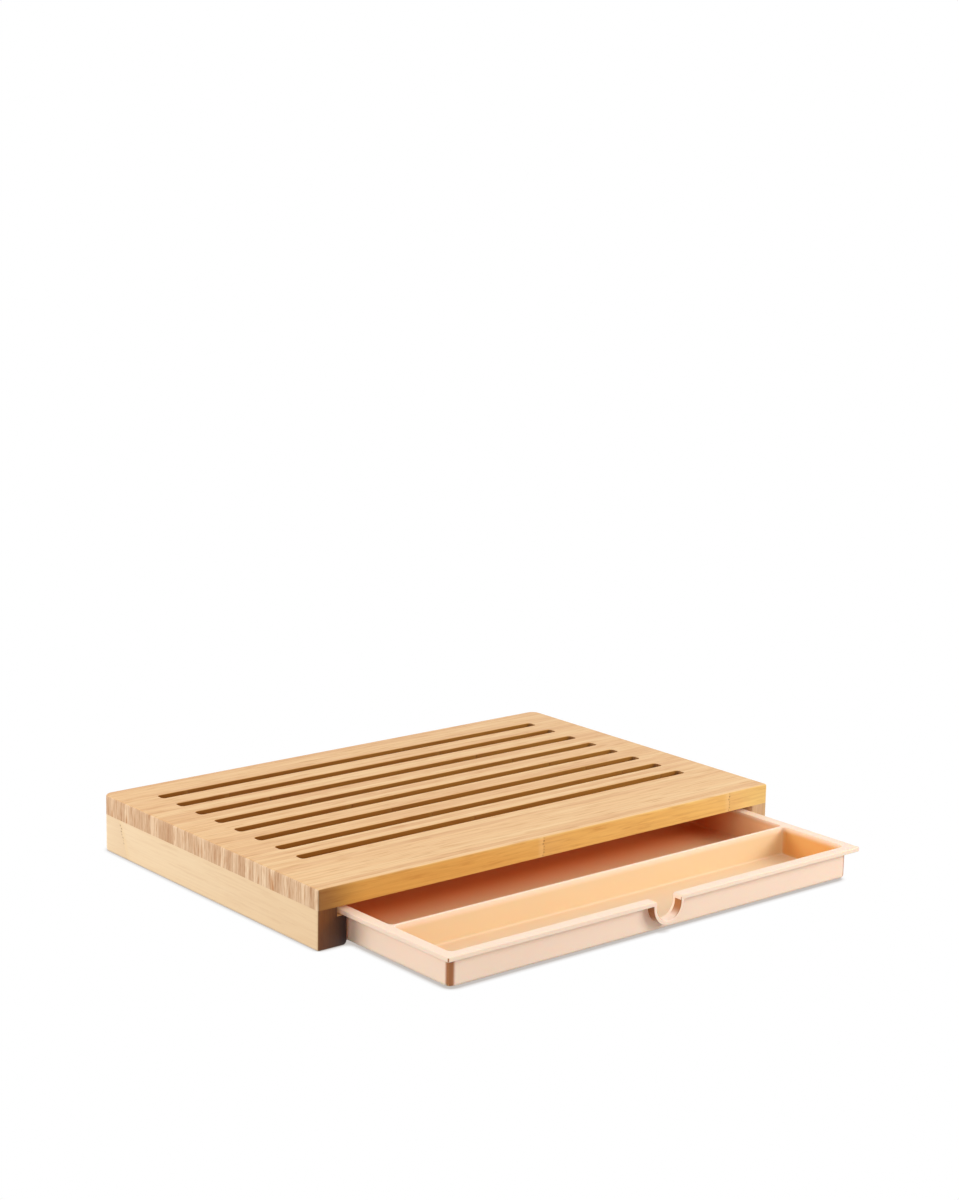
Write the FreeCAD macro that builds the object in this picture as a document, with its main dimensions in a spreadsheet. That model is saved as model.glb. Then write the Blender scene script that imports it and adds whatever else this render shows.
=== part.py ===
import FreeCAD, Part
import math
import os

import Sketcher
from FreeCAD import Vector

# A slotted bamboo cutting board on three rails, with a moulded two-compartment tray that slides out of its
# front. The frame has +Z up, X along the board's long side and the tray pulling out towards -Y. The origin
# lies on the table, under the middle of the whole object with its tray partly open. Sizes are in millimetres.

doc = FreeCAD.newDocument("CuttingBoardWithTray")

# ---------------------------------------------------------------- driving dimensions

DRIVING_DIMENSIONS = [
    # the board
    ("board_length", 460.0, "board along X"),
    ("board_depth", 298.0, "board along Y"),
    ("slab_thickness", 16.0, "laminated bamboo slab"),
    ("back_corner_radius", 8.0, "upright corners at the back"),
    ("front_corner_radius", 2.0, "upright corners at the front"),
    ("edge_round", 1.6, "round-over along the outer edges"),
    # the slots in the slab
    ("slot_count", 8.0, "slots"),
    ("slot_pitch", 27.5, "from one slot to the next"),
    ("slot_width", 9.8, "slot along Y"),
    ("slot_corner_radius", 3.0, "slot corners"),
    ("slot_edge_round", 0.6, "round-over along the slots' top edges"),
    ("slot_side_margin", 32.0, "board end to slot end"),
    ("slot_back_margin", 30.85, "board back to the first slot"),
    # the rails
    ("rail_height", 30.5, "table to the slab's underside"),
    ("rail_width", 26.0, "side rail along X"),
    ("rail_foot_round", 3.5, "round-over of a rail's inner lower edge"),
    ("rebate_width", 9.3, "step that carries the tray's rim, along X"),
    ("rebate_depth", 7.2, "step that carries the tray's rim, below the slab"),
    ("back_rail_width", 22.0, "back rail along Y"),
    # the glued dowels
    ("dowel_diameter", 8.0, "dowel"),
    ("dowel_depth_in_slab", 10.0, "dowel above the rail's top"),
    ("dowel_depth_in_rail", 16.0, "dowel below the rail's top"),
    ("dowel_chamfer", 0.8, "dowel ends"),
    ("dowel_glue_gap", 0.1, "glue line round a dowel"),
    ("dowel_end_gap", 1.0, "bore past a dowel's end"),
    ("dowel_inset", 45.0, "board corner to the first dowel, along its rail"),
    # the tray
    ("pull_out", 122.0, "tray pulled out of the board at rest"),
    ("tray_side_clearance", 1.8, "rail to the tray's wall"),
    ("tray_back_clearance", 2.0, "closed tray to the back rail"),
    ("tray_table_clearance", 1.5, "table to the tray's underside"),
    ("tray_wall", 2.3, "tray walls"),
    ("tray_floor", 2.5, "tray floor"),
    ("tray_corner_radius", 6.0, "tray's upright outer corners"),
    ("tray_bottom_round", 2.6, "tray's lower outer edges"),
    ("tray_inner_round", 2.0, "tray's floor to its walls"),
    ("rim_thickness", 3.6, "tray rim"),
    ("rim_side_clearance", 4.3, "rim to the upright side of the rebate"),
    ("rim_running_clearance", 0.3, "rebate to the rim that slides on it"),
    ("rim_corner_radius", 1.8, "rim's upright corners"),
    ("rim_edge_round", 0.8, "round-over along the rim's upper outer edge"),
    ("rim_lower_round", 0.6, "round-over along the rim's lower edge and the notch's lip"),
    ("mouth_round", 0.6, "round-over along the compartments' top edges"),
    ("divider_from_front", 75.0, "rim's front edge to the middle of the divider"),
    ("divider_thickness", 2.6, "divider"),
    ("notch_width", 24.0, "finger notch along X"),
    ("notch_depth", 17.0, "finger notch below the rim's top"),
    ("notch_mouth_round", 2.5, "where the notch turns into the rim"),
]

sheet = doc.addObject("Spreadsheet::Sheet", "Dims")
for row, (alias, number, note) in enumerate(DRIVING_DIMENSIONS, start=1):
    sheet.set(f"A{row}", note)
    sheet.set(f"B{row}", str(number))
    sheet.setAlias(f"B{row}", alias)
doc.recompute()


def size(expression):
    """The number that an expression gives now."""
    result = sheet.evalExpression(expression)
    return float(getattr(result, "Value", result))


# ---------------------------------------------------------------- places worked out from the dimensions

BOARD_CENTRE_Y = "Dims.pull_out / 2"
BOARD_BACK_Y = "(Dims.pull_out + Dims.board_depth) / 2"
TRAY_FRONT_Y = "(0 - Dims.pull_out - Dims.board_depth) / 2"

SLOT_LENGTH = "(Dims.board_length - 2 * Dims.slot_side_margin)"
FIRST_SLOT_Y = "(Dims.board_depth / 2 - Dims.slot_back_margin - Dims.slot_width / 2)"

RAIL_SHOULDER = "(Dims.rail_width - Dims.rebate_width)"
SIDE_DOWEL_X = f"(Dims.board_length / 2 - {RAIL_SHOULDER} / 2)"
BACK_DOWEL_Y = "(Dims.board_depth / 2 - Dims.back_rail_width / 2)"
SIDE_DOWEL_REACH = "(Dims.board_depth / 2 - Dims.dowel_inset)"
BACK_DOWEL_REACH = "(Dims.board_length / 2 - Dims.rail_width - Dims.dowel_inset)"
DOWEL_LENGTH = "(Dims.dowel_depth_in_slab + Dims.dowel_depth_in_rail)"
BORE_RADIUS = "(Dims.dowel_diameter / 2 + Dims.dowel_glue_gap)"

WALL_HALF = "(Dims.board_length / 2 - Dims.rail_width - Dims.tray_side_clearance)"
RIM_OVERHANG = "(Dims.rebate_width - Dims.rim_side_clearance + Dims.tray_side_clearance)"
RIM_HALF = f"({WALL_HALF} + {RIM_OVERHANG})"
TRAY_DEPTH = "(Dims.board_depth - Dims.back_rail_width - Dims.tray_back_clearance)"
RIM_UNDERSIDE = (
    "(Dims.rail_height - Dims.rebate_depth + Dims.rim_running_clearance - Dims.tray_table_clearance)"
)
TRAY_HEIGHT = f"({RIM_UNDERSIDE} + Dims.rim_thickness)"
NOTCH_CENTRE_Z = f"({TRAY_HEIGHT} - Dims.notch_depth + Dims.notch_width / 2)"

TOOL_OVERRUN = 1.0  # how far a cutting tool runs past the face that it opens
SAME_PLACE = 0.005  # two edges this near each other are in the same place


# ---------------------------------------------------------------- sketches and features

def new_body(label, x="0", y="0", z="0"):
    """A body of its own, placed by three expressions."""
    body = doc.addObject("PartDesign::Body", label)
    body.Label = label
    for axis, expression in zip("xyz", (x, y, z)):
        if expression != "0":
            body.setExpression(f"Placement.Base.{axis}", expression)
    return body


def new_sketch(body, name, role, lift="0"):
    """A sketch on one of the body's origin planes, lifted off it by an expression."""
    sketch = body.newObject("Sketcher::SketchObject", name)
    plane = next(feature for feature in body.Origin.OriginFeatures if feature.Role == role)
    sketch.AttachmentSupport = [(plane, "")]
    sketch.MapMode = "FlatFace"
    if lift != "0":
        sketch.setExpression("AttachmentOffset.Base.z", lift)
    return sketch


def constrain(sketch, kind, *references, expression=None):
    """Adds a constraint, bound to an expression if it has a size."""
    if expression is None:
        sketch.addConstraint(Sketcher.Constraint(kind, *references))
        return
    index = sketch.addConstraint(Sketcher.Constraint(kind, *references, size(expression)))
    sketch.setExpression(f"Constraints[{index}]", expression)


def locate(sketch, geometry, point, axis, expression):
    """Ties one coordinate of a point to the sketch's origin."""
    if expression == "0":
        constrain(sketch, "PointOnObject", geometry, point, -2 if axis == "X" else -1)
    else:
        constrain(sketch, f"Distance{axis}", -1, 1, geometry, point, expression=expression)


def draw_polygon(sketch, corners):
    """A closed outline of straight lines; each corner is a pair of expressions."""
    points = [Vector(size(x), size(y), 0) for x, y in corners]
    lines = []
    for start, end in zip(points, points[1:] + points[:1]):
        lines.append(sketch.addGeometry(Part.LineSegment(start, end), False))
    for line, following in zip(lines, lines[1:] + lines[:1]):
        constrain(sketch, "Coincident", line, 2, following, 1)
    for line, (x, y) in zip(lines, corners):
        locate(sketch, line, 1, "X", x)
        locate(sketch, line, 1, "Y", y)


def draw_rounded_rectangle(sketch, x_low, x_high, y_low, y_high, radius):
    """A rectangle with tangent corner arcs; every argument is an expression."""
    left, right, front, back, arc = (size(e) for e in (x_low, x_high, y_low, y_high, radius))
    centres = [(right - arc, front + arc), (right - arc, back - arc),
               (left + arc, back - arc), (left + arc, front + arc)]
    starts = [Vector(left + arc, front, 0), Vector(right, front + arc, 0),
              Vector(right - arc, back, 0), Vector(left, back - arc, 0)]
    ends = [Vector(right - arc, front, 0), Vector(right, back - arc, 0),
            Vector(left + arc, back, 0), Vector(left, front + arc, 0)]
    lines = []
    arcs = []
    for side in range(4):
        lines.append(sketch.addGeometry(Part.LineSegment(starts[side], ends[side]), False))
        circle = Part.Circle(Vector(*centres[side], 0), Vector(0, 0, 1), arc)
        turned = (side - 1) * math.pi / 2
        arcs.append(sketch.addGeometry(Part.ArcOfCircle(circle, turned, turned + math.pi / 2), False))
    for side in range(4):
        constrain(sketch, "Tangent", lines[side], 2, arcs[side], 1)
        constrain(sketch, "Tangent", arcs[side], 2, lines[(side + 1) % 4], 1)
        constrain(sketch, "Horizontal" if side % 2 == 0 else "Vertical", lines[side])
    for side in range(1, 4):
        constrain(sketch, "Equal", arcs[0], arcs[side])
    constrain(sketch, "Radius", arcs[0], expression=radius)
    locate(sketch, lines[0], 1, "Y", y_low)
    locate(sketch, lines[1], 1, "X", x_high)
    locate(sketch, lines[2], 1, "Y", y_high)
    locate(sketch, lines[3], 1, "X", x_low)


def draw_u(sketch, half_width, centre_height, top_height):
    """A U that is open at its top: two uprights on a half circle, closed by a straight line."""
    half, centre, top = size(half_width), size(centre_height), size(top_height)
    down = sketch.addGeometry(Part.LineSegment(Vector(-half, top, 0), Vector(-half, centre, 0)), False)
    circle = Part.Circle(Vector(0, centre, 0), Vector(0, 0, 1), half)
    bottom = sketch.addGeometry(Part.ArcOfCircle(circle, math.pi, 2 * math.pi), False)
    up = sketch.addGeometry(Part.LineSegment(Vector(half, centre, 0), Vector(half, top, 0)), False)
    across = sketch.addGeometry(Part.LineSegment(Vector(half, top, 0), Vector(-half, top, 0)), False)
    constrain(sketch, "Tangent", down, 2, bottom, 1)
    constrain(sketch, "Tangent", bottom, 2, up, 1)
    constrain(sketch, "Coincident", up, 2, across, 1)
    constrain(sketch, "Coincident", across, 2, down, 1)
    constrain(sketch, "Vertical", down)
    constrain(sketch, "Horizontal", across)
    constrain(sketch, "PointOnObject", bottom, 3, -2)
    constrain(sketch, "Radius", bottom, expression=half_width)
    locate(sketch, bottom, 3, "Y", centre_height)
    locate(sketch, down, 1, "Y", top_height)


def draw_circles(sketch, centres, radius):
    """Circles of one radius; each centre is a pair of expressions."""
    for x, y in centres:
        circle = Part.Circle(Vector(size(x), size(y), 0), Vector(0, 0, 1), size(radius))
        index = sketch.addGeometry(circle, False)
        locate(sketch, index, 3, "X", x)
        locate(sketch, index, 3, "Y", y)
        constrain(sketch, "Radius", index, expression=radius)


def pad(body, name, sketch, length, reversed_side=False):
    """Adds material on a sketch and checks that the body grew."""
    before = body.Shape.Volume if body.Tip else 0.0
    feature = body.newObject("PartDesign::Pad", name)
    feature.Profile = sketch
    feature.Reversed = reversed_side
    feature.setExpression("Length", length)
    sketch.Visibility = False
    doc.recompute()
    if not feature.Shape.Volume > before:
        raise RuntimeError(f"{body.Label}: {name} adds nothing")
    return feature


def pocket(body, name, sketch, length, reversed_side=False):
    """Cuts a sketch out of the body and checks that the body shrank."""
    before = body.Shape.Volume
    feature = body.newObject("PartDesign::Pocket", name)
    feature.Profile = sketch
    feature.Reversed = reversed_side
    feature.setExpression("Length", length)
    sketch.Visibility = False
    doc.recompute()
    if not feature.Shape.Volume < before:
        raise RuntimeError(f"{body.Label}: {name} cuts nothing")
    return feature


def fillet(body, name, radius, chosen):
    """Rounds the edges of the body's tip that a test picks out."""
    base = body.Tip
    names = [f"Edge{n}" for n, edge in enumerate(base.Shape.Edges, start=1) if chosen(edge)]
    if not names:
        raise RuntimeError(f"{body.Label}: {name} finds no edge")
    feature = body.newObject("PartDesign::Fillet", name)
    feature.Base = (base, names)
    feature.setExpression("Radius", radius)
    doc.recompute()
    return feature


def near(a, b):
    """True where two lengths are the same."""
    return abs(a - b) < SAME_PLACE


def spans(edge, axis):
    """The low and high ends of an edge's box along an axis."""
    box = edge.BoundBox
    return getattr(box, f"{axis}Min"), getattr(box, f"{axis}Max")


def lies_at(edge, axis, height):
    """True where the whole edge lies at one height along an axis."""
    low, high = spans(edge, axis)
    return near(low, height) and near(high, height)


def runs_along(edge, axis):
    """True for a straight edge parallel to an axis."""
    others = [other for other in "XYZ" if other != axis]
    flat = all(near(*spans(edge, other)) for other in others)
    return flat and not near(*spans(edge, axis))


# ---------------------------------------------------------------- the slab

def dowel_places():
    """The dowels by name: the rail that each stands in and its place in the board's plan, as expressions."""
    steps = {1: "-1", 2: "0", 3: "1"}
    places = {}
    for number, step in steps.items():
        along = "0" if step == "0" else f"{step} * {SIDE_DOWEL_REACH}"
        places[f"left_rail_dowel_{number}"] = ("left_rail", f"-1 * {SIDE_DOWEL_X}", along)
        places[f"right_rail_dowel_{number}"] = ("right_rail", SIDE_DOWEL_X, along)
        across = "0" if step == "0" else f"{step} * {BACK_DOWEL_REACH}"
        places[f"back_rail_dowel_{number}"] = ("back_rail", across, BACK_DOWEL_Y)
    return places


DOWELS = dowel_places()


def make_slab():
    """The laminated slab, with its row of slots and blind dowel bores."""
    body = new_body("slotted_board", y=BOARD_CENTRE_Y, z="Dims.rail_height")
    half_length, half_depth = "Dims.board_length / 2", "Dims.board_depth / 2"
    outline = new_sketch(body, "SlabOutline", "XY_Plane")
    draw_polygon(outline, [(f"-1 * {half_length}", f"-1 * {half_depth}"), (half_length, f"-1 * {half_depth}"),
                           (half_length, half_depth), (f"-1 * {half_length}", half_depth)])
    pad(body, "Slab", outline, "Dims.slab_thickness")

    back, front, top = size(half_depth), -size(half_depth), size("Dims.slab_thickness")
    fillet(body, "BackCorners", "Dims.back_corner_radius",
           lambda edge: runs_along(edge, "Z") and lies_at(edge, "Y", back))
    fillet(body, "FrontCorners", "Dims.front_corner_radius",
           lambda edge: runs_along(edge, "Z") and lies_at(edge, "Y", front))
    fillet(body, "TopEdge", "Dims.edge_round", lambda edge: lies_at(edge, "Z", top))

    bores = new_sketch(body, "DowelBoreCentres", "XY_Plane")
    draw_circles(bores, [(x, y) for rail, x, y in DOWELS.values()], BORE_RADIUS)
    pocket(body, "DowelBores", bores, "Dims.dowel_depth_in_slab + Dims.dowel_end_gap", reversed_side=True)

    slot = new_sketch(body, "SlotOutline", "XY_Plane")
    draw_rounded_rectangle(slot, f"-1 * {SLOT_LENGTH} / 2", f"{SLOT_LENGTH} / 2",
                           f"{FIRST_SLOT_Y} - Dims.slot_width / 2", f"{FIRST_SLOT_Y} + Dims.slot_width / 2",
                           "Dims.slot_corner_radius")
    first_slot = pocket(body, "FirstSlot", slot, f"Dims.slab_thickness + {TOOL_OVERRUN}", reversed_side=True)
    one_slot = body.Shape.Volume
    pattern = body.newObject("PartDesign::LinearPattern", "Slots")
    pattern.Originals = [first_slot]
    pattern.Direction = (slot, ["V_Axis"])
    pattern.Reversed = True
    pattern.setExpression("Length", "(Dims.slot_count - 1) * Dims.slot_pitch")
    pattern.setExpression("Occurrences", "Dims.slot_count")
    body.Tip = pattern
    doc.recompute()
    if not pattern.Shape.Volume < one_slot:
        raise RuntimeError("slotted_board: the slots don't repeat")

    side = size(half_length) - size("Dims.slot_side_margin")
    behind = size(half_depth) - size("Dims.slot_back_margin")

    def is_slot_mouth(edge):
        inside_x = max(abs(end) for end in spans(edge, "X")) < side + SAME_PLACE
        inside_y = max(abs(end) for end in spans(edge, "Y")) < behind + SAME_PLACE
        return lies_at(edge, "Z", top) and inside_x and inside_y

    fillet(body, "SlotMouths", "Dims.slot_edge_round", is_slot_mouth)
    return body


# ---------------------------------------------------------------- the rails

def bore_rail(body, label, to_local_x, to_local_y):
    """Drills the blind bores of one rail's dowels down from its top."""
    centres = [(to_local_x(x), to_local_y(y)) for rail, x, y in DOWELS.values() if rail == label]
    bores = new_sketch(body, "DowelBoreCentres", "XY_Plane", lift="Dims.rail_height")
    draw_circles(bores, centres, BORE_RADIUS)
    pocket(body, "DowelBores", bores, "Dims.dowel_depth_in_rail + Dims.dowel_end_gap")


def make_side_rail(label, hand):
    """A side rail under one end of the slab: hand is -1 for the left rail and 1 for the right one."""
    body = new_body(label, x=f"{hand} * Dims.board_length / 2", y=BOARD_BACK_Y)
    inward = -hand
    profile = new_sketch(body, "RailProfile", "XZ_Plane")
    draw_polygon(profile, [
        ("0", "0"),
        (f"{inward} * Dims.rail_width", "0"),
        (f"{inward} * Dims.rail_width", "Dims.rail_height - Dims.rebate_depth"),
        (f"{inward} * {RAIL_SHOULDER}", "Dims.rail_height - Dims.rebate_depth"),
        (f"{inward} * {RAIL_SHOULDER}", "Dims.rail_height"),
        ("0", "Dims.rail_height"),
    ])
    pad(body, "Rail", profile, "Dims.board_depth")

    front, inner = -size("Dims.board_depth"), inward * size("Dims.rail_width")
    fillet(body, "BackCorner", "Dims.back_corner_radius",
           lambda edge: runs_along(edge, "Z") and lies_at(edge, "X", 0) and lies_at(edge, "Y", 0))
    fillet(body, "FrontCorner", "Dims.front_corner_radius",
           lambda edge: runs_along(edge, "Z") and lies_at(edge, "X", 0) and lies_at(edge, "Y", front))
    fillet(body, "InnerFoot", "Dims.rail_foot_round",
           lambda edge: runs_along(edge, "Y") and lies_at(edge, "X", inner) and lies_at(edge, "Z", 0))
    fillet(body, "OuterFoot", "Dims.edge_round",
           lambda edge: runs_along(edge, "Y") and lies_at(edge, "X", 0) and lies_at(edge, "Z", 0))
    bore_rail(body, label,
              lambda x: f"{x} - {hand} * Dims.board_length / 2",
              lambda y: f"{y} - Dims.board_depth / 2")
    return body


def make_back_rail():
    """The rail across the back: it stops the tray, and its shoulders fill the side rails' rebates."""
    body = new_body("back_rail", y=BOARD_BACK_Y)
    foot_half = "(Dims.board_length / 2 - Dims.rail_width)"
    top_half = f"({foot_half} + Dims.rebate_width)"
    shoulder = "(Dims.rail_height - Dims.rebate_depth)"
    profile = new_sketch(body, "RailProfile", "XZ_Plane")
    draw_polygon(profile, [
        (f"-1 * {foot_half}", "0"),
        (foot_half, "0"),
        (foot_half, shoulder),
        (top_half, shoulder),
        (top_half, "Dims.rail_height"),
        (f"-1 * {top_half}", "Dims.rail_height"),
        (f"-1 * {top_half}", shoulder),
        (f"-1 * {foot_half}", shoulder),
    ])
    pad(body, "Rail", profile, "Dims.back_rail_width")
    inner = -size("Dims.back_rail_width")
    fillet(body, "InnerFoot", "Dims.rail_foot_round",
           lambda edge: runs_along(edge, "X") and lies_at(edge, "Y", inner) and lies_at(edge, "Z", 0))
    fillet(body, "OuterFoot", "Dims.edge_round",
           lambda edge: runs_along(edge, "X") and lies_at(edge, "Y", 0) and lies_at(edge, "Z", 0))
    bore_rail(body, "back_rail", lambda x: x, lambda y: f"{y} - Dims.board_depth / 2")
    return body


# ---------------------------------------------------------------- the dowels

def make_dowel(label, x, y):
    """A glued dowel, half in its rail and half in the slab."""
    body = new_body(label, x=x, y=f"{y} + {BOARD_CENTRE_Y}", z="Dims.rail_height - Dims.dowel_depth_in_rail")
    outline = new_sketch(body, "DowelSection", "XY_Plane")
    draw_circles(outline, [("0", "0")], "Dims.dowel_diameter / 2")
    pad(body, "Dowel", outline, DOWEL_LENGTH)
    ends = (0.0, size(DOWEL_LENGTH))
    base = body.Tip
    names = [f"Edge{n}" for n, edge in enumerate(base.Shape.Edges, start=1)
             if any(lies_at(edge, "Z", end) for end in ends)]
    chamfer = body.newObject("PartDesign::Chamfer", "Ends")
    chamfer.Base = (base, names)
    chamfer.setExpression("Size", "Dims.dowel_chamfer")
    doc.recompute()
    return body


# ---------------------------------------------------------------- the tray

def make_tray():
    """The moulded tray: a rim that hangs on the rebates, two compartments and a finger notch."""
    body = new_body("crumb_tray", y=TRAY_FRONT_Y, z="Dims.tray_table_clearance")
    wall_front, wall_back = RIM_OVERHANG, f"({TRAY_DEPTH} - {RIM_OVERHANG})"
    shell = new_sketch(body, "WallOutline", "XY_Plane")
    draw_rounded_rectangle(shell, f"-1 * {WALL_HALF}", WALL_HALF, wall_front, wall_back,
                           "Dims.tray_corner_radius")
    pad(body, "Shell", shell, TRAY_HEIGHT)
    fillet(body, "BottomEdge", "Dims.tray_bottom_round", lambda edge: lies_at(edge, "Z", 0))

    rim = new_sketch(body, "RimOutline", "XY_Plane", lift=RIM_UNDERSIDE)
    draw_rounded_rectangle(rim, f"-1 * {RIM_HALF}", RIM_HALF, "0", TRAY_DEPTH, "Dims.rim_corner_radius")
    pad(body, "Rim", rim, "Dims.rim_thickness")

    lip = new_sketch(body, "NotchLipOutline", "XZ_Plane")
    draw_u(lip, "Dims.notch_width / 2 + Dims.rim_thickness", NOTCH_CENTRE_Z, TRAY_HEIGHT)
    pad(body, "NotchLip", lip, f"{wall_front} + Dims.tray_wall / 2", reversed_side=True)

    inner_half = f"({WALL_HALF} - Dims.tray_wall)"
    inner_front, inner_back = f"({wall_front} + Dims.tray_wall)", f"({wall_back} - Dims.tray_wall)"
    inner_radius = "(Dims.tray_corner_radius - Dims.tray_wall)"
    divider_front = "(Dims.divider_from_front - Dims.divider_thickness / 2)"
    divider_back = "(Dims.divider_from_front + Dims.divider_thickness / 2)"
    for name, low, high in (("Front", inner_front, divider_front), ("Rear", divider_back, inner_back)):
        compartment = new_sketch(body, f"{name}CompartmentOutline", "XY_Plane", lift=TRAY_HEIGHT)
        draw_rounded_rectangle(compartment, f"-1 * {inner_half}", inner_half, low, high, inner_radius)
        pocket(body, f"{name}Compartment", compartment, f"{TRAY_HEIGHT} - Dims.tray_floor")

    floor = size("Dims.tray_floor")
    fillet(body, "FloorEdge", "Dims.tray_inner_round", lambda edge: lies_at(edge, "Z", floor))

    notch = new_sketch(body, "NotchOutline", "XZ_Plane")
    draw_u(notch, "Dims.notch_width / 2", NOTCH_CENTRE_Z, f"{TRAY_HEIGHT} + {TOOL_OVERRUN}")
    pocket(body, "Notch", notch, f"{inner_front} + {TOOL_OVERRUN}")

    top, under, depth = size(TRAY_HEIGHT), size(RIM_UNDERSIDE), size(TRAY_DEPTH)
    half_notch, half_lip = size("Dims.notch_width / 2"), size("Dims.notch_width / 2 + Dims.rim_thickness")
    half_rim, half_mouth = size(RIM_HALF), size(inner_half)

    def at_sides(edge, half):
        return lies_at(edge, "X", -half) or lies_at(edge, "X", half)

    fillet(body, "NotchMouth", "Dims.notch_mouth_round",
           lambda edge: runs_along(edge, "Y") and lies_at(edge, "Z", top) and at_sides(edge, half_notch))
    fillet(body, "RimEdge", "Dims.rim_edge_round",
           lambda edge: lies_at(edge, "Z", top)
           and (at_sides(edge, half_rim) or lies_at(edge, "Y", 0) or lies_at(edge, "Y", depth)))
    fillet(body, "CompartmentMouths", "Dims.mouth_round",
           lambda edge: lies_at(edge, "Z", top) and at_sides(edge, half_mouth))
    fillet(body, "RimLowerEdge", "Dims.rim_lower_round",
           lambda edge: (lies_at(edge, "Z", under) and at_sides(edge, half_rim))
           or (lies_at(edge, "Y", 0) and at_sides(edge, half_lip)))
    return body


# ---------------------------------------------------------------- build, check and export

bodies = [make_slab(), make_side_rail("left_rail", -1), make_side_rail("right_rail", 1), make_back_rail()]
bodies += [make_dowel(label, x, y) for label, (rail, x, y) in DOWELS.items()]
bodies.append(make_tray())
doc.recompute()

for thing in doc.Objects:
    if "Invalid" in thing.State or "Error" in thing.State:
        raise RuntimeError(f"{thing.Label} failed: {thing.State}")
for body in bodies:
    if body.Shape.isNull() or not body.Shape.isValid() or len(body.Shape.Solids) != 1:
        raise RuntimeError(f"{body.Label} isn't one valid solid")

os.makedirs("parts", exist_ok=True)
for body in bodies:
    body.Shape.exportStep(os.path.join("parts", f"{body.Label}.step"))
    box = body.Shape.optimalBoundingBox()
    measured = f"{box.XLength:.2f} x {box.YLength:.2f} x {box.ZLength:.2f} mm"
    print(f"{body.Label}: {measured}, {body.Shape.Volume:.0f} mm3")
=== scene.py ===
import math
from typing import NamedTuple

import bmesh
import bpy
from bpy.props import FloatProperty, FloatVectorProperty, PointerProperty
from bpy.types import Operator, Panel, PropertyGroup
from mathutils import Matrix, Vector


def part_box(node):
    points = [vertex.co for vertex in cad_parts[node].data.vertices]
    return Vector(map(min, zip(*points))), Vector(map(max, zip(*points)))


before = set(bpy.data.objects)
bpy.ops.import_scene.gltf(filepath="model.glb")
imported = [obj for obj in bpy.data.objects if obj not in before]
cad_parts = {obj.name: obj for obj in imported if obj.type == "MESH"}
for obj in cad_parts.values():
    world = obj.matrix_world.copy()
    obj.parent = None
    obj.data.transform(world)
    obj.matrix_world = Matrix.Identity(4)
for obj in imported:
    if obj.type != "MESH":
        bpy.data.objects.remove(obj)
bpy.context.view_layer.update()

bl_info = {
    "name": "Slotted Cutting Board with Tray",
    "version": (1, 0, 0),
    "blender": (4, 5, 0),
    "location": "View3D > Sidebar > Cutting Board",
    "description": "Finishes a slotted bamboo cutting board and its tray, and sets them on a studio stage",
    "category": "Material",
}

MM = 0.001  # metres in a millimetre

BOARD_LOW, BOARD_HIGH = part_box("slotted_board")
TRAY_LOW, TRAY_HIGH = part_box("crumb_tray")
BOARD_MIDDLE = (BOARD_LOW + BOARD_HIGH) / 2


# ---------------------------------------------------------------- colours and nodes

def from_hex(code):
    """An sRGB hex colour as linear light."""
    parts = [int(code[i:i + 2], 16) / 255 for i in (0, 2, 4)]
    return tuple(p / 12.92 if p <= 0.04045 else ((p + 0.055) / 1.055) ** 2.4 for p in parts)


def with_alpha(colour):
    """A colour as a shader socket takes it."""
    return (*colour, 1.0)


def add_node(tree, kind, inputs=None, **settings):
    """Adds a node with its settings. An input is a value, a socket, or a node, for its first output.

    Inputs that share a name go by number. A mix has its factor at 0, its numbers at 2 and 3 and its colours
    at 6 and 7. A map range has its value at 0, the range that comes in at 1 and 2, and the one that goes out
    at 3 and 4.
    """
    node = tree.nodes.new(kind)
    for name, value in settings.items():
        setattr(node, name, value)
    for key, value in (inputs or {}).items():
        if isinstance(value, bpy.types.Node):
            value = value.outputs[0]
        if isinstance(value, bpy.types.NodeSocket):
            tree.links.new(value, node.inputs[key])
        else:
            node.inputs[key].default_value = value
    return node


def new_material(name):
    """An empty node material with its output node."""
    material = bpy.data.materials.new(name)
    material.use_nodes = True
    tree = material.node_tree
    tree.nodes.clear()
    return material, tree, tree.nodes.new("ShaderNodeOutputMaterial")


def set_ramp(ramp_node, stops):
    """Gives a colour ramp its stops, each a place and a linear colour."""
    elements = ramp_node.color_ramp.elements
    while len(elements) > 1:
        elements.remove(elements[-1])
    elements[0].position = stops[0][0]
    elements[0].color = with_alpha(stops[0][1])
    for place, colour in stops[1:]:
        elements.new(place).color = with_alpha(colour)


def facing_parts(tree):
    """How squarely a surface faces along X, Y and Z, whichever way: 1 is square on."""
    normal = add_node(tree, "ShaderNodeNewGeometry").outputs["Normal"]
    facing = add_node(tree, "ShaderNodeVectorMath", {0: normal}, operation="ABSOLUTE")
    return add_node(tree, "ShaderNodeSeparateXYZ", {0: facing}).outputs


def inside_outline(tree, place, low, high):
    """1 within a box's outline as seen from above, and 0 outside it."""
    middle, half = (low + high) / 2, (high - low) / 2
    from_middle = add_node(tree, "ShaderNodeVectorMath", {0: place, 1: middle}, operation="SUBTRACT")
    off = add_node(tree, "ShaderNodeVectorMath", {0: from_middle}, operation="ABSOLUTE")
    offs = add_node(tree, "ShaderNodeSeparateXYZ", {0: off}).outputs
    inside_x = add_node(tree, "ShaderNodeMath", {0: offs[0], 1: half.x}, operation="LESS_THAN")
    inside_y = add_node(tree, "ShaderNodeMath", {0: offs[1], 1: half.y}, operation="LESS_THAN")
    return add_node(tree, "ShaderNodeMath", {0: inside_x, 1: inside_y}, operation="MULTIPLY")


def finish_node(name, material):
    """Gives a CAD node its finish."""
    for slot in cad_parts[name].material_slots:
        slot.material = material


# ---------------------------------------------------------------- settings

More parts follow.
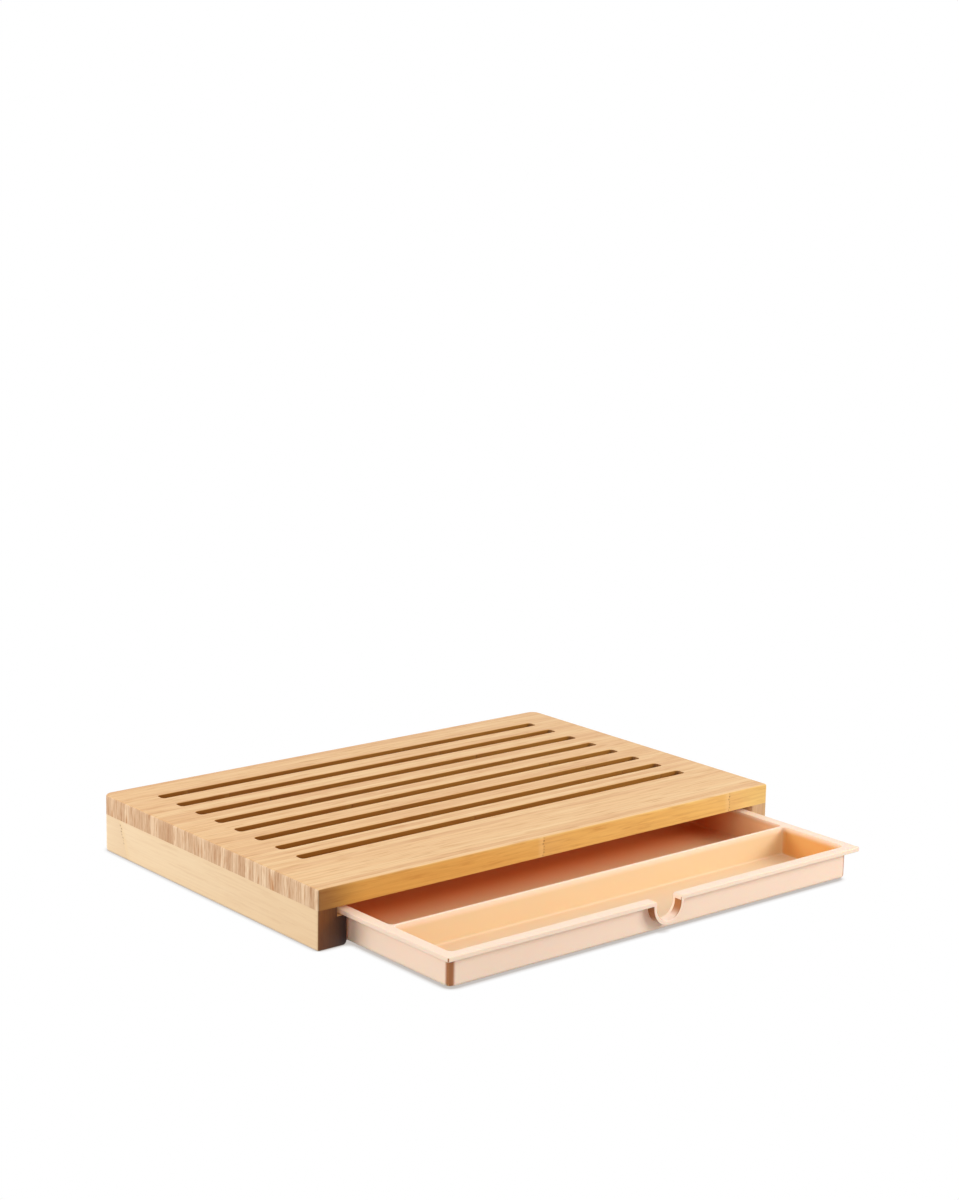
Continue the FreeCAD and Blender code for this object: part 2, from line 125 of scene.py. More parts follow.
def colour_setting(name, description, code):
    """A colour property whose default is an sRGB hex colour."""
    return FloatVectorProperty(name=name, description=description, subtype="COLOR", size=3, min=0.0, max=1.0,
                               default=from_hex(code))


def length_setting(name, description, millimetres):
    """A length property whose default is given in millimetres."""
    return FloatProperty(name=name, description=description, unit="LENGTH", precision=5, min=0.0,
                         default=millimetres * MM)


def power_setting(name, description, watts):
    """A lamp's power, given in watts."""
    return FloatProperty(name=name, description=description, unit="POWER", min=0.0, default=watts)


class BambooSettings(PropertyGroup):
    """Sizes and colours of the laminated bamboo."""
    strip_width: length_setting("Strip width", "Thickness of one glued strip", 5.5)
    knuckle_spacing: length_setting("Knuckle spacing", "From one knuckle of a culm to the next", 202.4)
    rail_knuckle_spacing: length_setting("Rail knuckle spacing", "The same in the rails' longer culms", 285.0)
    edge_light: colour_setting("Edge light", "Palest strip seen on edge, as on the cutting face", "F5CC93")
    edge_middle: colour_setting("Edge middle", "Usual strip seen on edge", "F1C388")
    edge_dark: colour_setting("Edge dark", "Darkest strip seen on edge", "E8B57B")
    # Broad faces range from dark to pale by each strip's own tone and by painted light along the piece.
    broad_light: colour_setting("Broad light", "Palest broad face of a strip, as on the front", "EFC473")
    broad_dark: colour_setting("Broad dark", "Darkest broad face of a strip, near the culm's foot", "DBA14A")
    end_light: colour_setting("End light", "Palest end grain", "FADCB6")
    end_dark: colour_setting("End dark", "Darkest end grain", "D7AE85")
    # The rails' broad faces carry the same painted light, darker towards their front ends.
    rail_light: colour_setting("Rail light", "Palest broad face of the side rails' strips", "F7DCB4")
    rail_dark: colour_setting("Rail dark", "Darkest broad face of the side rails' strips", "F0CDA0")
    rail_end: colour_setting("Rail end", "End grain of the rails", "CFA46E")
    # Painted shadow on the left rail's front end, which lies in shade beside the tray, deepest on its inner
    # side:
    rail_end_shadow_tone: colour_setting("Heart tone", "What heartwood takes from the left rail's front end", "946606")
    rail_end_deep_shadow_tone: colour_setting("Core tone", "The same at the rail's inner edge, near the core", "3A1602")
    # A painted shade on the broad faces at the slab's left end.
    left_end_shade_tone: colour_setting("Heel tone", "What the culm's foot takes from the first strip's end", "B6A496")
    fibre_tone: colour_setting("Fibre tone", "The darker fibre bundles", "C79C74")
    knuckle_tone: colour_setting("Knuckle tone", "The dark dots of a knuckle, and the glue lines", "8A5A2C")
    scar_tone: colour_setting("Scar tone", "The pale scar beside a knuckle", "EFCB92")
    # Painted shade: the slots' walls are darkened, as the slots lie in shade.
    slot_shade_tone: colour_setting("Routed tone", "What the cutter's heat takes from the slots' walls", "B69A70")


class TraySettings(PropertyGroup):
    """Colours and finish of the moulded tray."""
    resin: colour_setting("Resin", "The moulding's colour on its rim and outer walls", "FFE2CA")
    # Painted shade: the compartments' walls are painted deeper than the resin outside.
    inner: colour_setting("Inner", "Its colour on the compartments' walls", "EBCFA4")
    # The floors inside are painted deeper than the outside, as shade, but paler than the walls, as light.
    front_floor: colour_setting("Front floor", "Its colour on the front compartment's floor", "FBD8B2")
    # Painted shade on the tray's outer corners and on the flanks of the notch's lip.
    corner: colour_setting("Corner", "Its deep colour on the outer corners and the lip's flanks", "B4713F")
    # Painted shade low on the compartments' end walls.
    end_wall_shade: colour_setting("End wall", "Its deeper colour low on the compartments' end walls", "EBAC62")
    # Painted shadow in the rear compartment under the slab, lighter by the divider and deeper at its back.
    rear_near_shade: colour_setting("Rear, near", "Its colour in the rear compartment, by the divider", "FFCFA0")
    rear_far_shade: colour_setting("Rear, far", "Its deeper colour towards the rear compartment's back", "EE8B4F")
    texture_grain: length_setting("Texture grain", "Size of the mould's fine spark texture", 0.45)


class StageSettings(PropertyGroup):
    """Light and floor of the studio."""
    floor: colour_setting("Floor", "Plain pale floor", "FFFFFF")
    shadow: colour_setting("Shadow", "The floor right next to the object", "C4BDB8")
    # A painted shadow: the floor under the slab, lit only where light comes down through the slots.
    covered: colour_setting("Covered", "The floor under the slab, as seen through the slots", "4E3B2B")
    floor_bounce: colour_setting("Floor bounce", "What the floor throws back at the object", "ACACAC")
    left_power: power_setting("Left lamp", "Power of the softbox at the back left", 20.0)
    right_power: power_setting("Right lamp", "Power of the softbox at the front right", 22.9)
    fill: FloatProperty(name="Fill", description="Strength of the even light from all round", min=0.0,
                        default=0.65)


# ---------------------------------------------------------------- bamboo

# Where the slab's first strip has its knuckle, and where and how a side rail's outer strip has its own.
FRONT_KNUCKLE_X = -17.4 * MM
RAIL_KNUCKLE_Y = 172.0 * MM  # at the table; it leans back from there
RAIL_KNUCKLE_LEAN = 0.4
RAIL_KNUCKLE_HEIGHTS = (12 * MM, 28 * MM)
RAIL_FALLOFF_OFFSET = 230 * MM  # painted light on the rails is darkest this far before their front ends

SLAB_TRIM = 0.45 * MM  # planed off the slab's first strip
RAIL_TRIM = 0.6 * MM  # planed off a rail's outer strip
UNROUTED_BORDER = 15 * MM  # the slab's margin, which no slot reaches

# From here on the bamboo's sizes are in millimetres, as its pattern is.
DOT_SPACING = 2.3  # from one dot of a knuckle to the next
DOT_SHIFT = 0.9  # how far a dot may sit off its knuckle's line
DOT_CORE, DOT_RADIUS = 0.3, 1.15  # a dot is full up to the first, and fades out at the second
DOT_DEPTHS = (0.2, 0.75)  # the faintest and the darkest dot
DOT_KEY_STEP = 31.7  # from one strip's random numbers for its dots to the next strip's
KNUCKLE_GROWTH = 0.06  # how fast the knuckles draw closer towards the culm's tip
SCAR_START, SCAR_FULL, SCAR_DEPTH = -6.0, -1.5, 0.3  # the pale scar, measured from its knuckle
DEEPER_LENGTH, DEEPER_DEPTH = 30.0, 0.16  # the deeper wood past a knuckle
END_SHADE_LENGTH = 48.0  # how far the painted shade reaches in from a piece's darker end
LIGHT_FALLOFF_TONES = (-0.25, 0.75)  # painted light: what a piece's darker end and its paler end add to a broad face's tone
BROAD_STRIP_SHARE = 0.3  # how much of a strip's own tone its broad face shows
GLUE_REACH, GLUE_DEPTH = 0.4, 0.16  # into each strip; a real glue line is 0.1 mm wide, too fine to show
END_SHADOW_DEEPENS_START, END_SHADOW_DEEPENS_FULL = 4.0, 23.0  # where the painted shadow on the left rail's front end deepens, from the first glue line
OILED_ROUGHNESS = (0.42, 0.56)  # on smooth wood, and on open fibres
ROUTED_ROUGHNESS = 0.15  # what the cutter adds


class BambooCut(NamedTuple):
    """How a piece was cut from laminated bamboo. Its lengths and places are in metres."""
    along: int  # the axis that its strips run along: 0 for X, 1 for Y
    across: int  # the axis that its strips are counted on
    first_glue_line: float
    inward: int  # 1 or -1: which way the strips are counted from the first glue line
    knuckle_place: float
    knuckle_spacing: float
    knuckle_heights: tuple  # a knuckle's dots show from the first height to the second
    lean: float  # how far a knuckle leans for each unit of height
    foot: float  # where painted light leaves the broad faces darkest, with painted shade at the end
    tip: float  # where painted light leaves them palest
    seed: float


class StreakSet(NamedTuple):
    """Streaks that run along the strips. Their width and length are in millimetres."""
    width: float
    length: float
    detail: float  # how many finer layers the noise has
    start: float  # the noise from which a streak shows
    full: float  # the noise at which it shows in full
    depth: float  # how much it then changes the tone


# Real fibre bundles are 0.3 mm wide; the coarse ones are drawn 1.8 mm wide so that they show. Wisps are short
# and soft, where the planer has cut across the bundles at a low angle.
COARSE_FIBRES = StreakSet(width=1.8, length=60, detail=2.0, start=0.42, full=0.75, depth=0.26)
FINE_FIBRES = StreakSet(width=0.6, length=24, detail=1.0, start=0.35, full=0.75, depth=0.14)
WISPS = StreakSet(width=2.6, length=26, detail=3.0, start=0.54, full=0.72, depth=0.34)
TONE_WANDER = StreakSet(width=9, length=110, detail=1.0, start=0.3, full=0.7, depth=0.3)

END_FIBRE_RATE = 0.12  # how much slower the streaks change up an end face than across a strip
END_GAIN = 1.9  # how much more fibres and glue count on end grain, where they show as dark lines
RAIL_FIBRE_STRENGTH = 0.4  # the rails' broad faces show less of their fibres than the slab's strip edges


def bamboo_faces(tree, cut):
    """Which face a point lies on: 1 on end grain, and 1 on a strip's broad face; on its edge both are 0."""
    facings = facing_parts(tree)
    return [add_node(tree, "ShaderNodeMapRange", {0: facings[axis], 1: 0.45, 2: 0.8},
                     interpolation_type="SMOOTHSTEP") for axis in (cut.along, cut.across)]


def bamboo_strips(tree, cut, crosswise):
    """The strips: a whole number for each, how far across it a point lies, and its own random numbers."""
    pitch = bpy.context.scene.bamboo_settings.strip_width / MM
    from_edge = add_node(tree, "ShaderNodeMath", {0: crosswise, 1: cut.first_glue_line / MM},
                         operation="SUBTRACT")
    strips = add_node(tree, "ShaderNodeMath", {0: from_edge, 1: cut.inward / pitch}, operation="MULTIPLY")
    strip = add_node(tree, "ShaderNodeMath", {0: strips}, operation="FLOOR")
    part = add_node(tree, "ShaderNodeMath", {0: strips}, operation="FRACT")
    seeded = add_node(tree, "ShaderNodeMath", {0: strip, 1: cut.seed}, operation="ADD")
    chance = add_node(tree, "ShaderNodeTexWhiteNoise", {"W": seeded}, noise_dimensions="1D")
    chances = add_node(tree, "ShaderNodeSeparateColor", {0: chance.outputs["Color"]}).outputs
    return strip, part, seeded, chances


def streaks(tree, cut, fibre_place, streak_set, seed):
    """Noise drawn out along the strips."""
    scale = [1 / streak_set.width] * 3
    scale[cut.along] = 1 / streak_set.length
    place = add_node(tree, "ShaderNodeVectorMath", {0: fibre_place, 1: scale}, operation="MULTIPLY")
    return add_node(tree, "ShaderNodeTexNoise",
                    {"Vector": place, "W": seed, "Scale": 1.0, "Detail": streak_set.detail},
                    noise_dimensions="4D")


def strip_colour(tree, tones, chance, wander, light_falloff_tone, end_face, broad_face):
    """The ground's colour: a tone for each strip, wandering a little along it, on each of its faces.

    light_falloff_tone is painted light: it grows towards a piece's paler end, where a broad face is palest.
    """
    wandering = add_node(tree, "ShaderNodeMapRange",
                         {0: wander, 1: TONE_WANDER.start, 2: TONE_WANDER.full,
                          3: -TONE_WANDER.depth, 4: TONE_WANDER.depth})
    strip_tone = add_node(tree, "ShaderNodeMath", {0: chance, 1: wandering}, operation="ADD", use_clamp=True)
    broad_tone = add_node(tree, "ShaderNodeMath", {0: strip_tone, 1: BROAD_STRIP_SHARE, 2: light_falloff_tone},
                          operation="MULTIPLY_ADD")
    colours = {}
    for face, stops in tones.items():
        tone_of_face = broad_tone if face == "broad" else strip_tone
        colours[face] = add_node(tree, "ShaderNodeValToRGB", {0: tone_of_face})
        set_ramp(colours[face], stops)
    side = add_node(tree, "ShaderNodeMix", {0: broad_face, 6: colours["edge"], 7: colours["broad"]},
                    data_type="RGBA").outputs[2]
    return add_node(tree, "ShaderNodeMix", {0: end_face, 6: side, 7: colours["end"]},
                    data_type="RGBA").outputs[2]


def bamboo_knuckles(tree, cut, strip, lengthwise, crosswise, upright):
    """The knuckles of the culms: how dark a point is with their dots, and how far past its knuckle it lies.

    Every culm has its own knuckles, farther apart towards its foot, and a strip keeps its culm's. A knuckle
    shows as a row of small dark dots across the strip.
    """
    from_knuckle = add_node(tree, "ShaderNodeMath", {0: lengthwise, 1: cut.knuckle_place / MM},
                            operation="SUBTRACT")
    upright_lean = add_node(tree, "ShaderNodeMath", {0: upright, 1: -cut.lean, 2: from_knuckle},
                            operation="MULTIPLY_ADD")
    internodes = add_node(tree, "ShaderNodeMath", {0: upright_lean, 1: MM / cut.knuckle_spacing},
                          operation="MULTIPLY")
    growth = add_node(tree, "ShaderNodeMath", {0: internodes, 1: KNUCKLE_GROWTH, 2: 1 - KNUCKLE_GROWTH},
                      operation="MULTIPLY_ADD")
    grown = add_node(tree, "ShaderNodeMath", {0: internodes, 1: growth}, operation="MULTIPLY")
    # Steps of the golden ratio keep neighbouring strips' knuckles well apart.
    golden = add_node(tree, "ShaderNodeMath", {0: strip, 1: (math.sqrt(5) - 1) / 2, 2: 0.5},
                      operation="MULTIPLY_ADD")
    counted = add_node(tree, "ShaderNodeMath", {0: grown, 1: golden}, operation="ADD")
    cycle = add_node(tree, "ShaderNodeMath", {0: counted}, operation="FRACT")
    centred = add_node(tree, "ShaderNodeMath", {0: cycle, 1: 0.5}, operation="SUBTRACT")
    past = add_node(tree, "ShaderNodeMath", {0: centred, 1: cut.knuckle_spacing / MM}, operation="MULTIPLY")

    # A point's distance from the middle of its dot, which has a random place and depth of its own.
    sideways = add_node(tree, "ShaderNodeMath", {0: upright, 1: crosswise}, operation="ADD")
    row = add_node(tree, "ShaderNodeMath", {0: sideways, 1: DOT_SPACING}, operation="DIVIDE")
    row_number = add_node(tree, "ShaderNodeMath", {0: row}, operation="FLOOR")
    row_part = add_node(tree, "ShaderNodeMath", {0: row}, operation="FRACT")
    off_middle = add_node(tree, "ShaderNodeMath", {0: row_part, 1: 0.5}, operation="SUBTRACT")
    off_row = add_node(tree, "ShaderNodeMath", {0: off_middle, 1: DOT_SPACING}, operation="MULTIPLY")
    dot_key = add_node(tree, "ShaderNodeMath", {0: strip, 1: DOT_KEY_STEP, 2: row_number},
                       operation="MULTIPLY_ADD")
    dot_chance = add_node(tree, "ShaderNodeTexWhiteNoise", {"W": dot_key}, noise_dimensions="1D")
    dot_chances = add_node(tree, "ShaderNodeSeparateColor", {0: dot_chance.outputs["Color"]}).outputs
    shift = add_node(tree, "ShaderNodeMapRange", {0: dot_chances[0], 3: -DOT_SHIFT, 4: DOT_SHIFT})
    off_line = add_node(tree, "ShaderNodeMath", {0: past, 1: shift}, operation="ADD")
    line_square = add_node(tree, "ShaderNodeMath", {0: off_line, 1: off_line}, operation="MULTIPLY")
    square = add_node(tree, "ShaderNodeMath", {0: off_row, 1: off_row, 2: line_square},
                      operation="MULTIPLY_ADD")
    distance = add_node(tree, "ShaderNodeMath", {0: square}, operation="SQRT")
    dot = add_node(tree, "ShaderNodeMapRange", {0: distance, 1: DOT_CORE, 2: DOT_RADIUS, 3: 1.0, 4: 0.0},
                   interpolation_type="SMOOTHSTEP")
    depth = add_node(tree, "ShaderNodeMapRange", {0: dot_chances[1], 3: DOT_DEPTHS[0], 4: DOT_DEPTHS[1]})
    dots = add_node(tree, "ShaderNodeMath", {0: dot, 1: depth}, operation="MULTIPLY")
    low, high = (height / MM for height in cut.knuckle_heights)
    above = add_node(tree, "ShaderNodeMath", {0: upright, 1: low}, operation="GREATER_THAN")
    below = add_node(tree, "ShaderNodeMath", {0: upright, 1: high}, operation="LESS_THAN")
    between = add_node(tree, "ShaderNodeMath", {0: above, 1: below}, operation="MULTIPLY")
    return add_node(tree, "ShaderNodeMath", {0: dots, 1: between}, operation="MULTIPLY"), past


def routed_walls(tree, place, routed):
    """1 on the upright walls within a box's outline, where the cutter has been."""
    inside = inside_outline(tree, place, *routed)
    wall = add_node(tree, "ShaderNodeMapRange", {0: facing_parts(tree)[2], 1: 0.2, 2: 0.8, 3: 1.0, 4: 0.0},
                    interpolation_type="SMOOTHSTEP")
    return add_node(tree, "ShaderNodeMath", {0: inside, 1: wall}, operation="MULTIPLY")


def bamboo_material(name, cut, tones, fibre_strength, routed=None, shaded_end_before=None):
    """Laminated bamboo: strips glued face to face, planed and oiled.

    Moso bamboo is split, boiled, planed into strips and glued. Its fibre bundles give fine streaks along a
    strip, and each strip has a tone of its own. Planing leaves it smooth, and the oil gives a soft satin
    gloss. routed is the low and high corner of the part where a cutter has been: the walls that it leaves are
    rougher, and painted shade makes them browner. shaded_end_before is a place along the piece: end grain
    before it is painted with shadow.
    """
    settings = bpy.context.scene.bamboo_settings
    material, tree, output = new_material(name)
    place = add_node(tree, "ShaderNodeTexCoord").outputs["Object"]
    in_mm = add_node(tree, "ShaderNodeVectorMath", {0: place, "Scale": 1 / MM}, operation="SCALE")
    axes = add_node(tree, "ShaderNodeSeparateXYZ", {0: in_mm}).outputs
    lengthwise, crosswise, upright = axes[cut.along], axes[cut.across], axes[2]
    end_face, broad_face = bamboo_faces(tree, cut)
    strip, part, seeded, chances = bamboo_strips(tree, cut, crosswise)

    # On end grain the fibres stand end on, so there the streaks run up the face instead.
    z_rate = add_node(tree, "ShaderNodeMapRange", {0: end_face, 3: 1.0, 4: END_FIBRE_RATE})
    stretched_z = add_node(tree, "ShaderNodeMath", {0: upright, 1: z_rate}, operation="MULTIPLY")
    fibre_place = add_node(tree, "ShaderNodeCombineXYZ",
                           {cut.along: lengthwise, cut.across: crosswise, 2: stretched_z})
    coarse = streaks(tree, cut, fibre_place, COARSE_FIBRES, seeded)
    fine = streaks(tree, cut, fibre_place, FINE_FIBRES, 0.0)
    wander = streaks(tree, cut, fibre_place, TONE_WANDER, 5.0)
    wisps = streaks(tree, cut, fibre_place, WISPS, 9.0)

    foot, tip = cut.foot / MM, cut.tip / MM
    # Painted light: broad faces are darker towards one end of the piece and paler towards the other.
    light_falloff_tone = add_node(tree, "ShaderNodeMapRange",
                         {0: lengthwise, 1: foot, 2: tip, 3: LIGHT_FALLOFF_TONES[0], 4: LIGHT_FALLOFF_TONES[1]})
    colour = strip_colour(tree, tones, chances[0], wander, light_falloff_tone, end_face, broad_face)

    # The fibres darken the ground between them.
    fibres = 0.0
    for noise, streak_set in ((coarse, COARSE_FIBRES), (fine, FINE_FIBRES), (wisps, WISPS)):
        share = add_node(tree, "ShaderNodeMapRange",
                         {0: noise, 1: streak_set.start, 2: streak_set.full,
                          3: 0.0, 4: streak_set.depth * fibre_strength})
        fibres = add_node(tree, "ShaderNodeMath", {0: fibres, 1: share}, operation="ADD")
    end_gain = add_node(tree, "ShaderNodeMapRange", {0: end_face, 3: 1.0, 4: END_GAIN})
    fibre_share = add_node(tree, "ShaderNodeMath", {0: fibres, 1: end_gain}, operation="MULTIPLY")

    # The glue line between two strips.
    to_line = add_node(tree, "ShaderNodeMath", {0: part, 1: 0.5}, operation="SUBTRACT")
    off_line = add_node(tree, "ShaderNodeMath", {0: to_line}, operation="ABSOLUTE")
    line_start = 0.5 - GLUE_REACH / (settings.strip_width / MM)
    glue = add_node(tree, "ShaderNodeMapRange", {0: off_line, 1: line_start, 2: 0.5, 3: 0.0, 4: GLUE_DEPTH})
    off_broad = add_node(tree, "ShaderNodeMath", {0: 1.0, 1: broad_face}, operation="SUBTRACT")
    seen_glue = add_node(tree, "ShaderNodeMath", {0: glue, 1: off_broad}, operation="MULTIPLY")
    glue_share = add_node(tree, "ShaderNodeMath", {0: seen_glue, 1: end_gain}, operation="MULTIPLY")

    # A knuckle's dots, the pale scar before them and the deeper wood after them. Few show on a strip's edge.
    dots, past = bamboo_knuckles(tree, cut, strip, lengthwise, crosswise, upright)
    off_end = add_node(tree, "ShaderNodeMath", {0: 1.0, 1: end_face}, operation="SUBTRACT")
    chosen = add_node(tree, "ShaderNodeMapRange", {0: chances[1], 1: 0.7, 2: 0.9, 3: 0.0, 4: 0.4})
    shows = add_node(tree, "ShaderNodeMath", {0: broad_face, 1: chosen}, operation="MAXIMUM")
    visible = add_node(tree, "ShaderNodeMath", {0: shows, 1: off_end}, operation="MULTIPLY")
    before = add_node(tree, "ShaderNodeMath", {0: past, 1: 0.0}, operation="LESS_THAN")
    not_before = add_node(tree, "ShaderNodeMath", {0: 1.0, 1: before}, operation="SUBTRACT")
    scar = add_node(tree, "ShaderNodeMapRange", {0: past, 1: SCAR_START, 2: SCAR_FULL, 3: 0.0, 4: SCAR_DEPTH},
                    interpolation_type="SMOOTHSTEP")
    scar_side = add_node(tree, "ShaderNodeMath", {0: scar, 1: before}, operation="MULTIPLY")
    deeper = add_node(tree, "ShaderNodeMapRange",
                      {0: past, 1: 0.0, 2: DEEPER_LENGTH, 3: DEEPER_DEPTH, 4: 0.0})
    deeper_side = add_node(tree, "ShaderNodeMath", {0: deeper, 1: not_before}, operation="MULTIPLY")
    scar_share, deeper_share, dot_share = (
        add_node(tree, "ShaderNodeMath", {0: mark, 1: visible}, operation="MULTIPLY")
        for mark in (scar_side, deeper_side, dots))

    # Painted shade on the broad faces of the outer strips, at the piece's darker end: the slab's left end.
    end_shade = add_node(tree, "ShaderNodeMapRange",
                    {0: lengthwise, 1: foot + END_SHADE_LENGTH, 2: foot, 3: 0.0, 4: 1.0},
                    interpolation_type="SMOOTHSTEP")
    end_shade_share = add_node(tree, "ShaderNodeMath", {0: end_shade, 1: broad_face}, operation="MULTIPLY")

    # The oil sits duller on open fibres, and planing leaves them some hundredths of a millimetre high.
    roughness = add_node(tree, "ShaderNodeMapRange",
                         {0: fibre_share, 1: 0.0, 2: 0.4, 3: OILED_ROUGHNESS[0], 4: OILED_ROUGHNESS[1]})
    relief = add_node(tree, "ShaderNodeBump", {"Strength": 0.35, "Distance": 0.05 * MM, "Height": fine})

    layers = [
        (fibre_share, with_alpha(settings.fibre_tone), "MULTIPLY"),
        (glue_share, with_alpha(settings.knuckle_tone), "MIX"),
        (scar_share, with_alpha(settings.scar_tone), "MIX"),
        (deeper_share, with_alpha(settings.fibre_tone), "MIX"),
        (dot_share, with_alpha(settings.knuckle_tone), "MIX"),
        (end_shade_share, with_alpha(settings.left_end_shade_tone), "MULTIPLY"),
    ]
    if routed is not None:
        # The cutter leaves the walls rougher; their darker colour is painted shade in the slots.
        cutter = routed_walls(tree, place, routed)
        layers.append((cutter, with_alpha(settings.slot_shade_tone), "MULTIPLY"))
        roughness = add_node(tree, "ShaderNodeMath", {0: cutter, 1: ROUTED_ROUGHNESS, 2: roughness},
                             operation="MULTIPLY_ADD")
    # Painted shadow on the left rail's front end grain, deepest towards its inner side.
    if shaded_end_before is not None:
        near_end = add_node(tree, "ShaderNodeMath", {0: lengthwise, 1: shaded_end_before / MM},
                            operation="LESS_THAN")
        end_shadow_share = add_node(tree, "ShaderNodeMath", {0: near_end, 1: end_face}, operation="MULTIPLY")
        first_line = cut.first_glue_line / MM
        to_deeper_shadow = add_node(tree, "ShaderNodeMapRange",
                           {0: crosswise, 1: first_line + END_SHADOW_DEEPENS_START, 2: first_line + END_SHADOW_DEEPENS_FULL})
        rail_end_shadow, rail_end_deep_shadow = with_alpha(settings.rail_end_shadow_tone), with_alpha(settings.rail_end_deep_shadow_tone)
        dark_tone = add_node(tree, "ShaderNodeMix", {0: to_deeper_shadow, 6: rail_end_shadow, 7: rail_end_deep_shadow},
                             data_type="RGBA").outputs[2]
        layers.append((end_shadow_share, dark_tone, "MULTIPLY"))
    for share, tone, blend in layers:
        colour = add_node(tree, "ShaderNodeMix", {0: share, 6: colour, 7: tone},
                          data_type="RGBA", blend_type=blend).outputs[2]

    shader = add_node(tree, "ShaderNodeBsdfPrincipled",
                      {"Base Color": colour, "Roughness": roughness, "IOR": 1.5, "Normal": relief})
    tree.links.new(shader.outputs[0], output.inputs["Surface"])
    return material


def slab_tones():
    """The slab's tones by face, from dark strips to pale ones."""
    s = bpy.context.scene.bamboo_settings
    return {
        "edge": [(0.0, s.edge_dark), (0.45, s.edge_middle), (1.0, s.edge_light)],
        "broad": [(0.0, s.broad_dark), (1.0, s.broad_light)],
        "end": [(0.0, s.end_dark), (1.0, s.end_light)],
    }


def rail_tones():
    """The rails' tones by face: their broad faces are paler than the slab's."""
    s = bpy.context.scene.bamboo_settings
    return {
        "edge": [(0.0, s.edge_dark), (1.0, s.edge_middle)],
        "broad": [(0.0, s.rail_dark), (1.0, s.rail_light)],
        "end": [(0.0, s.rail_end), (1.0, s.end_dark)],
    }


class FinishSlab(Operator):
    """Give the slotted slab its edge-laminated bamboo"""
    bl_idname = "cutting_board.finish_slab"
    bl_label = "Finish Slab"

    def execute(self, context):
        settings = context.scene.bamboo_settings
        cut = BambooCut(along=0, across=1, first_glue_line=BOARD_LOW.y - SLAB_TRIM, inward=1,
                        knuckle_place=FRONT_KNUCKLE_X, knuckle_spacing=settings.knuckle_spacing,
                        knuckle_heights=(0.0, BOARD_HIGH.z), lean=0.0,
                        foot=BOARD_LOW.x, tip=BOARD_HIGH.x, seed=3.0)
        border = Vector((UNROUTED_BORDER, UNROUTED_BORDER, 0.0))
        bamboo = bamboo_material("laminated_bamboo_planed_slab", cut, slab_tones(), 1.0,
                                 routed=(BOARD_LOW + border, BOARD_HIGH - border))
        finish_node("slotted_board", bamboo)
        return {"FINISHED"}


class FinishRails(Operator):
    """Give the three rails their laminated bamboo"""
    bl_idname = "cutting_board.finish_rails"
    bl_label = "Finish Rails"

    def execute(self, context):
        settings = context.scene.bamboo_settings
        side = BambooCut(along=1, across=0, first_glue_line=BOARD_LOW.x - RAIL_TRIM, inward=1,
                         knuckle_place=RAIL_KNUCKLE_Y, knuckle_spacing=settings.rail_knuckle_spacing,
                         knuckle_heights=RAIL_KNUCKLE_HEIGHTS, lean=RAIL_KNUCKLE_LEAN,
                         foot=BOARD_LOW.y - RAIL_FALLOFF_OFFSET, tip=BOARD_HIGH.y, seed=40.0)
        cuts = {
            "left_rail": side,
            "right_rail": side._replace(first_glue_line=BOARD_HIGH.x + RAIL_TRIM, inward=-1, seed=71.0),
            "back_rail": side._replace(along=0, across=1, first_glue_line=BOARD_HIGH.y + RAIL_TRIM, inward=-1,
                                       knuckle_place=FRONT_KNUCKLE_X, seed=90.0),
        }
        for name, cut in cuts.items():
            # Only the left rail's front end gets painted shadow.
            bamboo = bamboo_material(f"laminated_bamboo_planed_{name}", cut, rail_tones(),
                                     RAIL_FIBRE_STRENGTH,
                                     shaded_end_before=BOARD_MIDDLE.y if name == "left_rail" else None)
            finish_node(name, bamboo)
        return {"FINISHED"}


# ---------------------------------------------------------------- beech dowels

BEECH_FLECK = (0.5 * MM, 0.5 * MM, 4.0 * MM)
BEECH_PALE = from_hex("E3BE97")
BEECH_FLECKED = from_hex("C99B72")


def beech_material(name):
    """Beech, turned: pale pinkish brown with short fine flecks along the dowel, and a dry matt face."""
    material, tree, output = new_material(name)
    place = add_node(tree, "ShaderNodeTexCoord").outputs["Object"]
    stretched = add_node(tree, "ShaderNodeVectorMath", {0: place, 1: BEECH_FLECK}, operation="DIVIDE")
    flecks = add_node(tree, "ShaderNodeTexNoise", {"Vector": stretched, "Scale": 1.0, "Detail": 2.0})
    colour = add_node(tree, "ShaderNodeValToRGB", {0: flecks})
    set_ramp(colour, [(0.35, BEECH_PALE), (0.7, BEECH_FLECKED)])
    relief = add_node(tree, "ShaderNodeBump", {"Strength": 0.4, "Distance": 0.05 * MM, "Height": flecks})
    shader = add_node(tree, "ShaderNodeBsdfPrincipled",
                      {"Base Color": colour, "Roughness": 0.7, "IOR": 1.5, "Normal": relief})
    tree.links.new(shader.outputs[0], output.inputs["Surface"])
    return material


class FinishDowels(Operator):
    """Give the hidden dowels their turned beech"""
    bl_idname = "cutting_board.finish_dowels"
    bl_label = "Finish Dowels"

    def execute(self, context):
        beech = beech_material("beech_turned_dowel")
        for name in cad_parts:
            if "dowel" in name:
                finish_node(name, beech)
        return {"FINISHED"}


# ---------------------------------------------------------------- the tray

# How many millimetres red, green and blue light go through the resin before they are turned aside.
RESIN_REACH = (3.0, 1.0, 0.5)
FLOW_CLOUD = (90 * MM, 60 * MM, 30 * MM)  # the size of the cloud that the resin's flow leaves
CLOUD_SHADES = (0.985, 1.01)  # its darkest and its palest part
RESIN_ROUGHNESS = (0.4, 0.5)  # in the hollows of the spark texture, and on its tops

